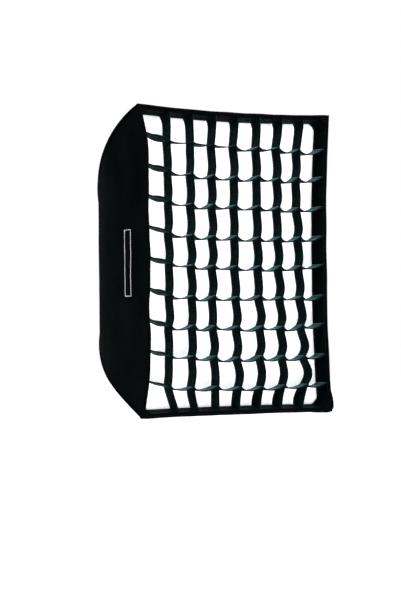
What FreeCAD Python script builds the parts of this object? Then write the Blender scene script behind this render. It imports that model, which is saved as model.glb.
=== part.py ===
import FreeCAD, Part
import math
import os

# Rectangular softbox on a bayonet speed ring, in millimetres.
# The optical axis is Y. The open front faces -Y, +Z is up and X runs across the width.
# The origin is on the axis, at the rear end of the bayonet spigot.

Vector = FreeCAD.Vector

# ---- overall sizes ----
front_width = 600.0
front_height = 800.0
front_depth = 600.0          # from the spigot's rear end to the plane of the front opening

# ---- bayonet adapter ----
light_bore_radius = 43.0
spigot_radius = 46.0
spigot_length = 14.0
lug_radius = 49.5
lug_thickness = 3.0
lug_angle = 28.0
lug_count = 3
drum_radius = 62.0
drum_length = 10.0
drum_web = 4.0
drum_rim = 4.0

# ---- speed ring ----
ring_radius = 76.0
ring_length = 16.0
seat_ledge = 8.0             # ring face that the drum rests on
running_gap = 0.1
rod_boss_radius = 8.5
boss_inner_margin = 2.0      # window edge to where the bosses start
boss_overhang = 10.0         # bosses past the ring edge
boss_front_setback = 8.5     # ring front face to the rod line where it crosses boss_reference
boss_reference_inset = 6.0

# ---- rods, ferrules and sockets ----
rod_radius = 2.5
rod_bow = math.radians(52.0)
rod_arc_count = 6
rod_root_overhang = 14.0     # ring edge to where the rod starts to bend
rod_insertion = 30.0         # straight stretch of rod behind its root
rod_tip_recess = 9.0
rod_line_inset = 8.0         # corner of the rod line inside the nominal front rectangle
ferrule_wall = 0.75
ferrule_length = 24.0
fit_gap = 0.05
socket_slack = 0.2
socket_wall = 1.5
socket_length = 30.0
socket_overhang = 2.0
cap_radius = 4.6
cap_start = 5.0
cap_length = 20.0
loop_wall = 0.9
loop_length = 24.0
loop_count = 3

# ---- fabric walls, as distances outward from the rod line ----
rod_to_lining = 5.0
lining_thickness = 0.8
layer_gap = 0.3
shell_thickness = 1.2
hem_thickness = 1.0
hem_width = 16.0
tape_gap = 0.3
tape_thickness = 1.0
tape_start = 3.0
tape_end = 70.0
tape_corner_gap = 8.0
pocket_leg = 26.0
pocket_start = 1.0
pocket_thickness = 1.4
label_height = 180.0
label_width = 45.0
label_thickness = 0.5
label_setback = 112.0

# ---- rear cuff ----
cuff_thickness = 1.0
cuff_gap = 0.2
cuff_sleeve_length = 7.0
cuff_setback = 1.0
cuff_cone_length = 10.0
rear_hole_margin = 17.5      # ring edge to the walls' rear edge
cuff_reach = 64.0
knob_notch_gap = 3.0

# ---- turn clips and their screws ----
clip_count = 4
clip_width = 12.0
clip_thickness = 2.0
clip_bite = 5.0              # clip over the drum
clip_outer_reach = 5.0
clip_gap = 0.3
screw_radius = 2.0
screw_head_radius = 4.0
screw_head_height = 2.2
screw_depth = 11.0

# ---- rotation lock ----
lock_boss_radius = 5.0
lock_boss_height = 4.0       # boss past the ring edge
lock_screw_radius = 3.0
pad_radius = 2.6
pad_height = 2.5
pad_gap = 0.3
knob_radius = 11.0
knob_height = 12.0
knob_cap_thickness = 4.0
knob_standoff = 4.0
knob_lobes = 6
knob_groove_radius = 3.0
knob_groove_offset = 1.0

# ---- inner baffle ----
baffle_setback = 330.0       # from the front opening
baffle_margin = 45.0
baffle_chamfer = 60.0
baffle_thickness = 0.8
strap_width = 14.0
strap_thickness = 1.2
strap_overlap = 18.0

# ---- front diffuser ----
diffuser_recess = 46.0
diffuser_thickness = 0.8
edge_gap = 0.8
corner_chamfer = 20.0
hook_band_depth = 20.0
hook_band_thickness = 1.0

# ---- grid ----
grid_recess = 4.0
grid_depth = 38.0
grid_columns = 8
grid_rows = 10
end_column_share = 1.08      # the end cells, as a share of a middle cell
end_row_share = 0.82
strip_thickness = 1.2
border_thickness = 1.5
slot_gap = 0.3

# ---- derived places ----
window_radius = drum_radius - seat_ledge
rod_boss_start = window_radius + boss_inner_margin
rod_boss_end = ring_radius + boss_overhang
boss_reference = ring_radius - boss_reference_inset
rod_root_distance = ring_radius + rod_root_overhang
rear_hole_radius = ring_radius + rear_hole_margin
clip_inner_reach = (ring_radius - drum_radius) / 2 + clip_bite
lock_boss_top = ring_radius + lock_boss_height
ring_rear_y = -spigot_length
drum_front_y = ring_rear_y - drum_length
ring_front_y = ring_rear_y - ring_length
window_cut_y = 2 * ring_front_y   # past the front of the rod bosses
front_y = -front_depth
shell_inner = rod_to_lining + lining_thickness + layer_gap
shell_outer = shell_inner + shell_thickness
hem_outer = shell_outer + hem_thickness
tape_outer = rod_to_lining - tape_gap
tape_inner = tape_outer - tape_thickness
front_line_x = front_width / 2 - rod_line_inset
front_line_z = front_height / 2 - rod_line_inset
front_line_distance = math.hypot(front_line_x, front_line_z)
share_x = front_line_x / front_line_distance
share_z = front_line_z / front_line_distance
bore_radius = rod_radius + fit_gap + ferrule_wall + socket_slack
socket_radius = bore_radius + socket_wall
corners = [(1, 1), (1, -1), (-1, -1), (-1, 1)]
extension = 30.0             # how far wall profiles run past the rod line's two ends
tolerance = 1e-6
halvings = 50                # steps of a search by halving


# ---- the rod line ----
# In its diagonal plane a rod is one straight run and then equal-length tangent arcs. Its
# angle to the optical axis grows with the square of the arc number, as a rod that is
# clamped at the ring and held at the corner bends.
def unit_turns():
    turns = [(0.0, 0.0)]
    for arc in range(rod_arc_count):
        start = rod_bow * (arc / rod_arc_count) ** 2
        end = rod_bow * ((arc + 1) / rod_arc_count) ** 2
        turns.append((start, end))
    return turns


def chord(length, start, end):
    half = (end - start) / 2
    size = length if abs(half) < tolerance else length * math.sin(half) / half
    middle = (start + end) / 2
    return size * math.cos(middle), size * math.sin(middle)


def solve_rod_line():
    root_y = ring_front_y - boss_front_setback
    for _ in range(8):
        depth = 0.0
        lateral = 0.0
        turns = unit_turns()
        for start, end in turns:
            step = chord(1.0 / len(turns), start, end)
            depth += step[0]
            lateral += step[1]
        target_depth = root_y - front_y
        target_lateral = front_line_distance - rod_root_distance
        tip_angle = math.atan2(target_lateral, target_depth) - math.atan2(lateral, depth)
        length = math.hypot(target_lateral, target_depth) / math.hypot(lateral, depth)
        root_angle = tip_angle + rod_bow
        crossing = (rod_root_distance - boss_reference) / math.tan(root_angle)
        root_y = ring_front_y - boss_front_setback - crossing
    return tip_angle, length


tip_angle, rod_line_length = solve_rod_line()
run_length = rod_line_length / (rod_arc_count + 1)


def run_starts():
    starts = [(front_y, front_line_distance)]
    for start, end in unit_turns():
        step = chord(run_length, tip_angle + start, tip_angle + end)
        y, distance = starts[-1]
        starts.append((y + step[0], distance - step[1]))
    return starts


rod_starts = run_starts()
rod_root_y = rod_starts[-1][0]
root_angle = tip_angle + rod_bow


def rod_line(position):
    """Y, distance from the axis and angle at an arc length measured from the front plane."""
    run = min(max(int(position // run_length), 0), rod_arc_count)
    start, end = unit_turns()[run]
    start += tip_angle
    end += tip_angle
    local = position - run * run_length
    if position > rod_line_length:
        y, distance = rod_starts[-1]
        beyond = position - rod_line_length
        return y + beyond * math.cos(root_angle), distance - beyond * math.sin(root_angle), root_angle
    here = start + (end - start) * local / run_length
    step = chord(local, start, here)
    y, distance = rod_starts[run]
    return y + step[0], distance - step[1], here


def rod_point(corner, position):
    y, distance, _ = rod_line(position)
    return Vector(corner[0] * share_x * distance, y, corner[1] * share_z * distance)


def rod_tangent(corner, position):
    angle = rod_line(position)[2]
    inward = -math.sin(angle)
    return Vector(corner[0] * share_x * inward, math.cos(angle), corner[1] * share_z * inward)


def rod_path(corner, start, end):
    stops = [start]
    for run in range(1, rod_arc_count + 2):
        border = run * run_length
        if start + tolerance < border < end - tolerance:
            stops.append(border)
    stops.append(end)
    edges = []
    for first, last in zip(stops, stops[1:]):
        straight = last <= run_length + tolerance or first >= rod_line_length - tolerance
        a = rod_point(corner, first)
        b = rod_point(corner, last)
        if straight:
            edges.append(Part.LineSegment(a, b).toShape())
        else:
            middle = rod_point(corner, (first + last) / 2)
            edges.append(Part.Arc(a, middle, b).toShape())
    return Part.Wire(edges)


def along_rod(corner, start, end, radius):
    """A round solid whose centre is the rod line between two arc lengths."""
    circle = Part.Circle(rod_point(corner, start), rod_tangent(corner, start), radius)
    section = Part.Wire([circle.toShape()])
    return rod_path(corner, start, end).makePipeShell([section], True, True)


def rod_tube(corner, start, end, outer, inner):
    return along_rod(corner, start, end, outer).cut(along_rod(corner, start, end, inner))


def position_at_y(y):
    low = 0.0
    high = rod_line_length
    for _ in range(halvings):
        middle = (low + high) / 2
        if rod_line(middle)[0] < y:
            low = middle
        else:
            high = middle
    return low


# ---- walls that follow the rod line ----
# share is share_z for the top and bottom walls and share_x for the side walls.
def wall_point(share, offset, position):
    y, distance, angle = rod_line(position)
    normal_y = share * math.sin(angle)
    normal_out = math.cos(angle)
    size = math.hypot(normal_y, normal_out)
    return y + offset * normal_y / size, share * distance + offset * normal_out / size


def wall_reach(share, offset, y):
    """How far from the axis a wall surface is where it crosses the plane at y."""
    low = -extension
    high = rod_line_length
    for _ in range(halvings):
        middle = (low + high) / 2
        if wall_point(share, offset, middle)[0] < y:
            low = middle
        else:
            high = middle
    return wall_point(share, offset, low)[1]


def wall_vector(share, y, out):
    return Vector(0, y, out) if share == share_z else Vector(out, y, 0)


def wall_curve(share, offset, sign=1):
    steps = 2 * (rod_arc_count + 1)
    positions = [-extension]
    positions += [rod_line_length * step / steps for step in range(steps + 1)]
    positions.append(rod_line_length + extension)
    points = []
    for position in positions:
        y, out = wall_point(share, offset, position)
        points.append(wall_vector(share, y, sign * out))
    curve = Part.BSplineCurve()
    curve.interpolate(points)
    return curve.toShape(), points[0], points[-1]


def extrude_across(share, face):
    across = Vector(1, 0, 0) if share == share_z else Vector(0, 0, 1)
    half = front_height
    face.translate(across * -half)
    return face.extrude(across * (2 * half))


def wall_layer(share, inner, outer):
    """A layer of the wall on the positive side, unlimited across."""
    inner_edge, inner_front, inner_rear = wall_curve(share, inner)
    outer_edge, outer_front, outer_rear = wall_curve(share, outer)
    rear = Part.LineSegment(inner_rear, outer_rear).toShape()
    front = Part.LineSegment(outer_front, inner_front).toShape()
    outline = Part.Wire(Part.sortEdges([inner_edge, rear, outer_edge, front])[0])
    return extrude_across(share, Part.Face(outline))


def between_walls(share, offset):
    """Everything between the two opposite surfaces of a wall pair."""
    high_edge, high_front, high_rear = wall_curve(share, offset)
    low_edge, low_front, low_rear = wall_curve(share, offset, -1)
    rear = Part.LineSegment(high_rear, low_rear).toShape()
    front = Part.LineSegment(low_front, high_front).toShape()
    outline = Part.Wire(Part.sortEdges([high_edge, rear, low_edge, front])[0])
    return extrude_across(share, Part.Face(outline))


def slab(y_low, y_high):
    size = 4 * front_height
    corner = Vector(-size / 2, y_low, -size / 2)
    return Part.makeBox(size, y_high - y_low, size, corner)


def mirrored(shape, axis):
    return shape.mirror(Vector(0, 0, 0), axis)


def disc(radius, y_low, y_high):
    return Part.makeCylinder(radius, y_high - y_low, Vector(0, y_low, 0), Vector(0, 1, 0))


def post(radius, z_low, z_high, y):
    return Part.makeCylinder(radius, z_high - z_low, Vector(0, y, z_low), Vector(0, 0, 1))


def turned_about_y(shape, angle):
    copy = shape.copy()
    copy.rotate(Vector(0, 0, 0), Vector(0, 1, 0), angle)
    return copy


def octagon(half_width, half_height, chamfer, y_low, y_high):
    points = [
        (half_width - chamfer, half_height),
        (half_width, half_height - chamfer),
        (half_width, chamfer - half_height),
        (half_width - chamfer, -half_height),
        (chamfer - half_width, -half_height),
        (-half_width, chamfer - half_height),
        (-half_width, half_height - chamfer),
        (chamfer - half_width, half_height),
    ]
    points.append(points[0])
    outline = Part.makePolygon([Vector(x, y_low, z) for x, z in points])
    return Part.Face(outline).extrude(Vector(0, y_high - y_low, 0))


def octagon_band(half_width, half_height, chamfer, thickness, y_low, y_high):
    outer = octagon(half_width, half_height, chamfer, y_low, y_high)
    inner_chamfer = chamfer - thickness * (2 - math.sqrt(2))
    inner = octagon(half_width - thickness, half_height - thickness, inner_chamfer, y_low, y_high)
    return outer.cut(inner)


def export(name, shape):
    solids = [solid for solid in shape.Solids if solid.Volume > 1.0]
    result = solids[0] if len(solids) == 1 else Part.makeCompound(solids)
    if not result.isValid():
        print("NOT VALID", name)
    box = result.BoundBox
    print("%-20s solids %2d volume %9.0f  x %.1f..%.1f y %.1f..%.1f z %.1f..%.1f" % (
        name, len(solids), result.Volume, box.XMin, box.XMax, box.YMin, box.YMax, box.ZMin, box.ZMax))
    result.exportStep("parts/%s.step" % name)


# ---- bayonet adapter: spigot with three lugs, and the drum that turns in the ring ----
def bayonet_adapter():
    body = disc(spigot_radius, drum_front_y, 0).fuse(disc(drum_radius, drum_front_y, ring_rear_y))
    relief = disc(drum_radius - drum_rim, drum_front_y, ring_rear_y - drum_web)
    relief = relief.cut(disc(spigot_radius, drum_front_y, 0))
    body = body.cut(relief)
    for index in range(lug_count):
        lug = Part.makeCylinder(lug_radius, lug_thickness, Vector(0, -lug_thickness, 0), Vector(0, 1, 0), lug_angle)
        lug = turned_about_y(lug, 360 / lug_count * index - lug_angle / 2)
        body = body.fuse(lug)
    return body.cut(disc(light_bore_radius, drum_front_y, 0)).removeSplitter()


# ---- speed ring: turning seat, four angled rod bosses, lock boss and clip screw holes ----
def clip_places():
    radius = (drum_radius + ring_radius) / 2
    places = []
    for index in range(clip_count):
        angle = math.radians(45 + 360 / clip_count * index)
        places.append((radius * math.cos(angle), radius * math.sin(angle), math.degrees(angle)))
    return places


lock_y = ring_rear_y - lock_boss_radius
lock_bore_radius = lock_screw_radius + running_gap
pocket_radius = drum_radius + running_gap
pocket_floor_y = drum_front_y - running_gap


def boss_position(distance):
    """Arc length along the straight root of the rod line at a distance from the axis."""
    return rod_line_length + (rod_root_distance - distance) / math.sin(root_angle)


def root_cylinder(corner, far, near, radius):
    """A cylinder on the rod's straight root, between two distances from the axis."""
    a = rod_point(corner, boss_position(far))
    b = rod_point(corner, boss_position(near))
    return Part.makeCylinder(radius, (a - b).Length, b, a - b)


socket_far = rod_boss_end + socket_overhang
socket_near = socket_far - socket_length * math.sin(root_angle)


def speed_ring():
    body = disc(ring_radius, ring_front_y, ring_rear_y)
    for corner in corners:
        body = body.fuse(root_cylinder(corner, rod_boss_end, rod_boss_start, rod_boss_radius))
    body = body.fuse(post(lock_boss_radius, drum_radius, lock_boss_top, lock_y))
    body = body.cut(disc(pocket_radius, pocket_floor_y, 0))
    body = body.cut(disc(window_radius, window_cut_y, 0))
    for corner in corners:
        body = body.cut(root_cylinder(corner, socket_far, socket_near, socket_radius + fit_gap))
    body = body.cut(post(lock_bore_radius, 0, lock_boss_top, lock_y))
    for x, z, _ in clip_places():
        hole = Part.makeCylinder(screw_radius + fit_gap, screw_depth + 1, Vector(x, ring_rear_y, z), Vector(0, -1, 0))
        body = body.cut(hole)
    return body.removeSplitter()


def rod_sockets():
    solids = []
    for corner in corners:
        sleeve = root_cylinder(corner, socket_far, socket_near, socket_radius)
        solids.append(sleeve.cut(root_cylinder(corner, socket_far, socket_near, bore_radius)))
    return Part.makeCompound(solids)


# ---- rods and what is on them ----
rod_rear = rod_line_length + rod_insertion


def rod(corner):
    return along_rod(corner, rod_tip_recess, rod_rear, rod_radius)


def rod_ferrules():
    outer = rod_radius + fit_gap + ferrule_wall
    inner = rod_radius + fit_gap
    start = rod_rear - ferrule_length
    return Part.makeCompound([rod_tube(corner, start, rod_rear, outer, inner) for corner in corners])


def rod_tip_caps():
    solids = []
    for corner in corners:
        cap = along_rod(corner, cap_start, cap_start + cap_length, cap_radius)
        hole = along_rod(corner, rod_tip_recess, cap_start + cap_length, rod_radius + fit_gap)
        solids.append(cap.cut(hole))
    return Part.makeCompound(solids)


baffle_y = front_y + baffle_setback
baffle_position = position_at_y(baffle_y + baffle_thickness + strap_thickness / 2)
loop_inner = rod_radius + fit_gap
loop_outer = loop_inner + loop_wall


def loop_middles():
    """Loops: one at the baffle's straps, the others shared out in front of and behind it."""
    ahead = (baffle_position + cap_start + tape_end) / 2
    behind = (baffle_position + rod_line_length) / 2
    return [ahead, baffle_position, behind][:loop_count]


def rod_keeper_loops():
    solids = []
    for corner in corners:
        for middle in loop_middles():
            half = loop_length / 2
            solids.append(rod_tube(corner, middle - half, middle + half, loop_outer, loop_inner))
    return Part.makeCompound(solids)


# ---- fabric walls ----
rear_hole = disc(rear_hole_radius, front_y + baffle_setback, 0)
inside_body = slab(front_y, 0)


def top_layer(inner, outer, side_limit, keep=inside_body):
    layer = wall_layer(share_z, inner, outer).common(between_walls(share_x, side_limit))
    return layer.common(keep).cut(rear_hole)


def side_layer(inner, outer, top_limit, keep=inside_body):
    layer = wall_layer(share_x, inner, outer).common(between_walls(share_z, top_limit))
    return layer.common(keep).cut(rear_hole)


def four_walls(top, side):
    bottom = mirrored(top, Vector(0, 0, 1))
    left = mirrored(side, Vector(1, 0, 0))
    return {"top": top, "bottom": bottom, "right": side, "left": left}


def shell_panels():
    top = top_layer(shell_inner, shell_outer, shell_outer)
    side = side_layer(shell_inner, shell_outer, shell_inner)
    return four_walls(top, side)


def lining_panels():
    lining_outer = rod_to_lining + lining_thickness
    top = top_layer(rod_to_lining, lining_outer, lining_outer)
    side = side_layer(rod_to_lining, lining_outer, rod_to_lining)
    return four_walls(top, side)


def front_hem():
    keep = slab(front_y, front_y + hem_width)
    top = top_layer(shell_outer, hem_outer, hem_outer, keep)
    side = side_layer(shell_outer, hem_outer, shell_outer, keep)
    return Part.makeCompound(list(four_walls(top, side).values()))


def lip_loop_tape():
    keep = slab(front_y + tape_start, front_y + tape_end)
    top = top_layer(tape_inner, tape_outer, -tape_corner_gap, keep)
    side = side_layer(tape_inner, tape_outer, -tape_corner_gap, keep)
    return Part.makeCompound(list(four_walls(top, side).values()))


def corner_pockets():
    near_y = front_y + pocket_start
    far_y = near_y + pocket_thickness
    x = wall_reach(share_x, rod_to_lining, near_y)
    z = wall_reach(share_z, rod_to_lining, near_y)
    spare = tape_corner_gap
    inner_limit = between_walls(share_x, rod_to_lining).common(between_walls(share_z, rod_to_lining))
    solids = []
    for side_x, side_z in corners:
        points = [
            Vector(side_x * (x - pocket_leg), near_y, side_z * (z + spare)),
            Vector(side_x * (x + spare), near_y, side_z * (z + spare)),
            Vector(side_x * (x + spare), near_y, side_z * (z - pocket_leg)),
            Vector(side_x * x, near_y, side_z * (z - pocket_leg)),
            Vector(side_x * (x - pocket_leg), near_y, side_z * z),
        ]
        points.append(points[0])
        plate = Part.Face(Part.makePolygon(points)).extrude(Vector(0, far_y - near_y, 0))
        solids.append(plate.common(inner_limit))
    return Part.makeCompound(solids)


def name_patch():
    """A blank woven patch on the left wall."""
    low_y = front_y + label_setback
    size = Vector(front_width, label_width, label_height)
    window = Part.makeBox(size.x, size.y, size.z, Vector(-front_width, low_y, -label_height / 2))
    layer = wall_layer(share_x, shell_outer, shell_outer + label_thickness)
    return mirrored(layer, Vector(1, 0, 0)).common(window)


def rear_cuff():
    inner = ring_radius + cuff_gap
    outer = inner + cuff_thickness
    skirt_outer = rear_hole_radius - layer_gap
    skirt_inner = skirt_outer - cuff_thickness
    rear_y = ring_rear_y - cuff_setback
    bend_y = rear_y - cuff_sleeve_length
    skirt_y = bend_y - cuff_cone_length
    end_y = skirt_y - cuff_reach
    outline = [
        (inner, rear_y),
        (outer, rear_y),
        (outer, bend_y),
        (skirt_outer, skirt_y),
        (skirt_outer, end_y),
        (skirt_inner, end_y),
        (skirt_inner, skirt_y - cuff_thickness / 2),
        (inner, bend_y - cuff_thickness / 2),
    ]
    points = [Vector(radius, y, 0) for radius, y in outline]
    points.append(points[0])
    cuff = Part.Face(Part.makePolygon(points)).revolve(Vector(0, 0, 0), Vector(0, 1, 0), 360)
    inside = between_walls(share_x, rod_to_lining).common(between_walls(share_z, rod_to_lining))
    cuff = cuff.cut(inside)
    notch = post(knob_radius + knob_notch_gap, 0, 2 * rear_hole_radius, lock_y)
    return cuff.cut(notch)


# ---- turn clips ----
clip_low_y = ring_rear_y + clip_gap
clip_high_y = clip_low_y + clip_thickness


def turn_clip(x, z, angle):
    length = clip_inner_reach + clip_outer_reach
    plate = Part.makeBox(length, clip_thickness, clip_width, Vector(-clip_inner_reach, clip_low_y, -clip_width / 2))
    plate = plate.cut(disc(screw_radius + running_gap, clip_low_y, clip_high_y))
    plate = turned_about_y(plate, -angle)
    plate.translate(Vector(x, 0, z))
    return plate


def clip_screws():
    solids = []
    head_y = clip_high_y + clip_gap
    for x, z, _ in clip_places():
        screw = disc(screw_radius, ring_rear_y - screw_depth, head_y)
        screw = screw.fuse(disc(screw_head_radius, head_y, head_y + screw_head_height)).removeSplitter()
        screw.translate(Vector(x, 0, z))
        solids.append(screw)
    return Part.makeCompound(solids)


# ---- rotation lock ----
pad_low = drum_radius + pad_gap
pad_high = pad_low + pad_height
knob_low = lock_boss_top + knob_standoff
knob_high = knob_low + knob_height
screw_top = knob_high - knob_cap_thickness


def lock_knob():
    knob = post(knob_radius, knob_low, knob_high, lock_y)
    for index in range(knob_lobes):
        angle = 2 * math.pi * index / knob_lobes
        groove = post(knob_groove_radius, knob_low, knob_high, lock_y)
        groove.translate(Vector(math.cos(angle), math.sin(angle), 0) * (knob_radius + knob_groove_offset))
        knob = knob.cut(groove)
    return knob.cut(post(lock_screw_radius, knob_low, screw_top, lock_y))


# ---- inner baffle and its corner straps ----
def inner_baffle():
    half_width = wall_reach(share_x, rod_to_lining, baffle_y) - baffle_margin
    half_height = wall_reach(share_z, rod_to_lining, baffle_y) - baffle_margin
    return octagon(half_width, half_height, baffle_chamfer, baffle_y, baffle_y + baffle_thickness)


def baffle_straps():
    half_width = wall_reach(share_x, rod_to_lining, baffle_y) - baffle_margin
    half_height = wall_reach(share_z, rod_to_lining, baffle_y) - baffle_margin
    # The chamfered corner is where x + z reaches this value.
    corner_sum = half_width + half_height - baffle_chamfer
    start = corner_sum / (share_x + share_z) - strap_overlap
    low_y = baffle_y + baffle_thickness
    solids = []
    for corner in corners:
        end = rod_line(baffle_position)[1]
        strap = Part.makeBox(end - start, strap_thickness, strap_width, Vector(start, low_y, -strap_width / 2))
        angle = math.degrees(math.atan2(corner[1] * share_z, corner[0] * share_x))
        strap = turned_about_y(strap, -angle)
        half = loop_length / 2
        clearance = along_rod(corner, baffle_position - half, baffle_position + half, loop_outer + fit_gap)
        parts = strap.cut(clearance).Solids
        parts.sort(key=lambda solid: solid.Volume)
        solids.append(parts[-1])
    return Part.makeCompound(solids)


# ---- front diffuser ----
diffuser_low_y = front_y + diffuser_recess
diffuser_high_y = diffuser_low_y + diffuser_thickness
hook_band_y = diffuser_high_y + hook_band_depth


def front_diffuser():
    half_width = wall_reach(share_x, tape_inner, diffuser_high_y) - edge_gap
    half_height = wall_reach(share_z, tape_inner, diffuser_high_y) - edge_gap
    return octagon(half_width, half_height, corner_chamfer, diffuser_low_y, diffuser_high_y)


def diffuser_hook_band():
    half_width = wall_reach(share_x, tape_inner, hook_band_y) - edge_gap
    half_height = wall_reach(share_z, tape_inner, hook_band_y) - edge_gap
    size = (half_width, half_height, corner_chamfer, hook_band_thickness)
    return octagon_band(*size, diffuser_high_y, hook_band_y)


# ---- grid: border band and half-lapped strips ----
grid_low_y = front_y + grid_recess
grid_high_y = grid_low_y + grid_depth
grid_middle_y = (grid_low_y + grid_high_y) / 2
grid_half_width = wall_reach(share_x, tape_inner, grid_high_y) - edge_gap
grid_half_height = wall_reach(share_z, tape_inner, grid_high_y) - edge_gap
slot_width = strip_thickness + 2 * slot_gap


def strip_places(half, count, end_share):
    """Strips that divide a width into cells, with end cells of their own share of a middle cell."""
    pitch = 2 * half / (count - 2 + 2 * end_share)
    first = -half + end_share * pitch
    return [first + index * pitch for index in range(count - 1)]


def column_places():
    return strip_places(grid_half_width, grid_columns, end_column_share)


def row_places():
    return strip_places(grid_half_height, grid_rows, end_row_share)


def grid_border():
    size = (grid_half_width, grid_half_height, corner_chamfer, border_thickness)
    return octagon_band(*size, grid_low_y, grid_high_y)


def grid_strip(place, crossings, half_length, slot_y):
    """An upright strip at x = place, slotted from slot_y to its nearer edge at each crossing."""
    start = Vector(place - strip_thickness / 2, grid_low_y, -half_length)
    strip = Part.makeBox(strip_thickness, grid_depth, 2 * half_length, start)
    slot_low, slot_high = slot_y
    for crossing in crossings:
        corner = Vector(place - strip_thickness, slot_low, crossing - slot_width / 2)
        slot = Part.makeBox(2 * strip_thickness, slot_high - slot_low, slot_width, corner)
        strip = strip.cut(slot)
    return strip


def vertical_strips():
    slot_y = (grid_low_y, grid_middle_y + slot_gap)
    crossings = row_places()
    half_length = grid_half_height - border_thickness
    return [grid_strip(place, crossings, half_length, slot_y) for place in column_places()]


def horizontal_strips():
    slot_y = (grid_middle_y - slot_gap, grid_high_y)
    crossings = column_places()
    half_length = grid_half_width - border_thickness
    strips = []
    for place in row_places():
        strips.append(turned_about_y(grid_strip(-place, crossings, half_length, slot_y), 90))
    return strips


# ---- build everything ----
os.makedirs("parts", exist_ok=True)
export("bayonet_adapter", bayonet_adapter())
export("speed_ring", speed_ring())
export("rod_sockets", rod_sockets())
for number, place in enumerate(clip_places(), 1):
    export("turn_clip_%d" % number, turn_clip(*place))
export("clip_screws", clip_screws())
export("lock_knob", lock_knob())
export("lock_screw", post(lock_screw_radius, pad_high, screw_top, lock_y))
export("lock_pad", post(pad_radius, pad_low, pad_high, lock_y))
for number, corner in enumerate(corners, 1):
    export("rod_%d" % number, rod(corner))
export("rod_ferrules", rod_ferrules())
export("rod_tip_caps", rod_tip_caps())
export("rod_keeper_loops", rod_keeper_loops())
for side, panel in shell_panels().items():
    export("panel_" + side, panel)
for side, panel in lining_panels().items():
    export("lining_" + side, panel)
export("front_hem", front_hem())
export("corner_pockets", corner_pockets())
export("lip_loop_tape", lip_loop_tape())
export("name_patch", name_patch())
export("rear_cuff", rear_cuff())
export("inner_baffle", inner_baffle())
export("baffle_straps", baffle_straps())
export("front_diffuser", front_diffuser())
export("diffuser_hook_band", diffuser_hook_band())
export("grid_border", grid_border())
for number, strip in enumerate(vertical_strips(), 1):
    export("grid_vertical_%d" % number, strip)
for number, strip in enumerate(horizontal_strips(), 1):
    export("grid_horizontal_%d" % number, strip)
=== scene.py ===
import math
import random

import bpy
import numpy as np
from mathutils import Matrix, Vector, noise


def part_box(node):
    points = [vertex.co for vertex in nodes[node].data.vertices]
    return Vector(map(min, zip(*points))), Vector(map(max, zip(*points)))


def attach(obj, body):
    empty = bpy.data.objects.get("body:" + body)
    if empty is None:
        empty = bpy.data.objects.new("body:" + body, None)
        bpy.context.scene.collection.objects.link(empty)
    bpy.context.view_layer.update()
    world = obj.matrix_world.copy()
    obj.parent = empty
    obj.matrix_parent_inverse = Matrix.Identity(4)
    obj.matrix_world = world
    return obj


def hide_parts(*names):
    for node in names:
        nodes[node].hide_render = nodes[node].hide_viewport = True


# Softbox in metres. The open front faces -Y, +Z is up, and the walls run back to the speed
# ring near the origin. Depth always means the distance behind the front opening.

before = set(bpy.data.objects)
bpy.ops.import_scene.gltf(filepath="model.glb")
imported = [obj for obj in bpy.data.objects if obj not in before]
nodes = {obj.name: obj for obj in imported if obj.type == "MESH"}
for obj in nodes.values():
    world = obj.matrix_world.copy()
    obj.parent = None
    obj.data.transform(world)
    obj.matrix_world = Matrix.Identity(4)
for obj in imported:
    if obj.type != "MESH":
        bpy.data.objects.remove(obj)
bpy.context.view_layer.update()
random.seed(7)

# ---- sizes read from the frame ----
front_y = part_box("panel_top")[0].y
hole_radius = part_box("rear_cuff")[1].x
grid_low, grid_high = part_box("grid_border")
grid_front = grid_low.y - front_y
grid_rear = grid_high.y - front_y
diffuser_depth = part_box("front_diffuser")[0].y - front_y
hook_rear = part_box("diffuser_hook_band")[1].y - front_y
tape_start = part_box("lip_loop_tape")[0].y - front_y
tape_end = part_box("lip_loop_tape")[1].y - front_y
hem_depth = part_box("front_hem")[1].y - front_y
column_count = 7
row_count = 9
columns_x = [sum(corner.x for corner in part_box("grid_vertical_%d" % number)) / 2
             for number in range(1, column_count + 1)]
rows_z = [sum(corner.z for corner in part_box("grid_horizontal_%d" % number)) / 2
          for number in range(row_count, 0, -1)]

# ---- how the cloth layers sit; an inset is the distance inward from the walls' outer skin ----
shell_thickness = 0.0012
lining_inset = 0.0018
lining_thickness = 0.0006
tape_inset = 0.0036
tape_thickness = 0.0009
border_inset = 0.0056
strip_thickness = 0.0023
level_thickness = 0.0030
diffuser_inset = 0.0050
corner_cut = 0.017
baffle_corner_cut = 0.060

# ---- how the cloth gives ----
front_pull = {"left": 0.0215, "right": 0.014, "top": 0.008, "bottom": 0.002}
pull_shape = {"left": 6.0, "right": 2.2, "top": 2.0, "bottom": 2.0}
lip_ripple = {"left": 0.0026, "right": 0.0010, "top": 0.0006, "bottom": 0.0006}
pull_reach = 0.16
ripple_reach = 0.06
wall_sag = 0.003
wall_sag_reach = 0.45
fold_height = 0.0011
fine_fold_height = 0.0005
folds_per_metre = 9
ray_height = 0.0013
rays_per_corner = 11
ray_start = 0.05
ray_reach = 0.16
seam_flat = 0.03              # folds die out this near a seam
corner_fullness = 0.011
corner_fullness_reach = 0.42
centre_fall = 0.009
right_fall = 0.006
row_sag = 0.0118
strip_bow = 0.0062
lower_right_bow = 0.0095
column_drift = 0.005
lower_drift = 0.0022
cross_jitter = 0.002
fall_jitter = 0.0022
top_flare = 0.015
# The upright strips from left to right: how far each leans at the top, and where its foot goes.
column_lean = [0.001, 0.002, -0.004, -0.003, 0.001, -0.006, -0.010]
bottom_slant = [0.028, 0.019, 0.009, 0.002, -0.003, -0.005, -0.004]

# Each side: the axis that it faces, that axis's sign, and the axis along the opening's edge.
SIDES = {
    "top": (2, 1, 0),
    "bottom": (2, -1, 0),
    "right": (0, 1, 2),
    "left": (0, -1, 2),
}
CORNERS = [(1, 1), (1, -1), (-1, -1), (-1, 1)]


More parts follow.
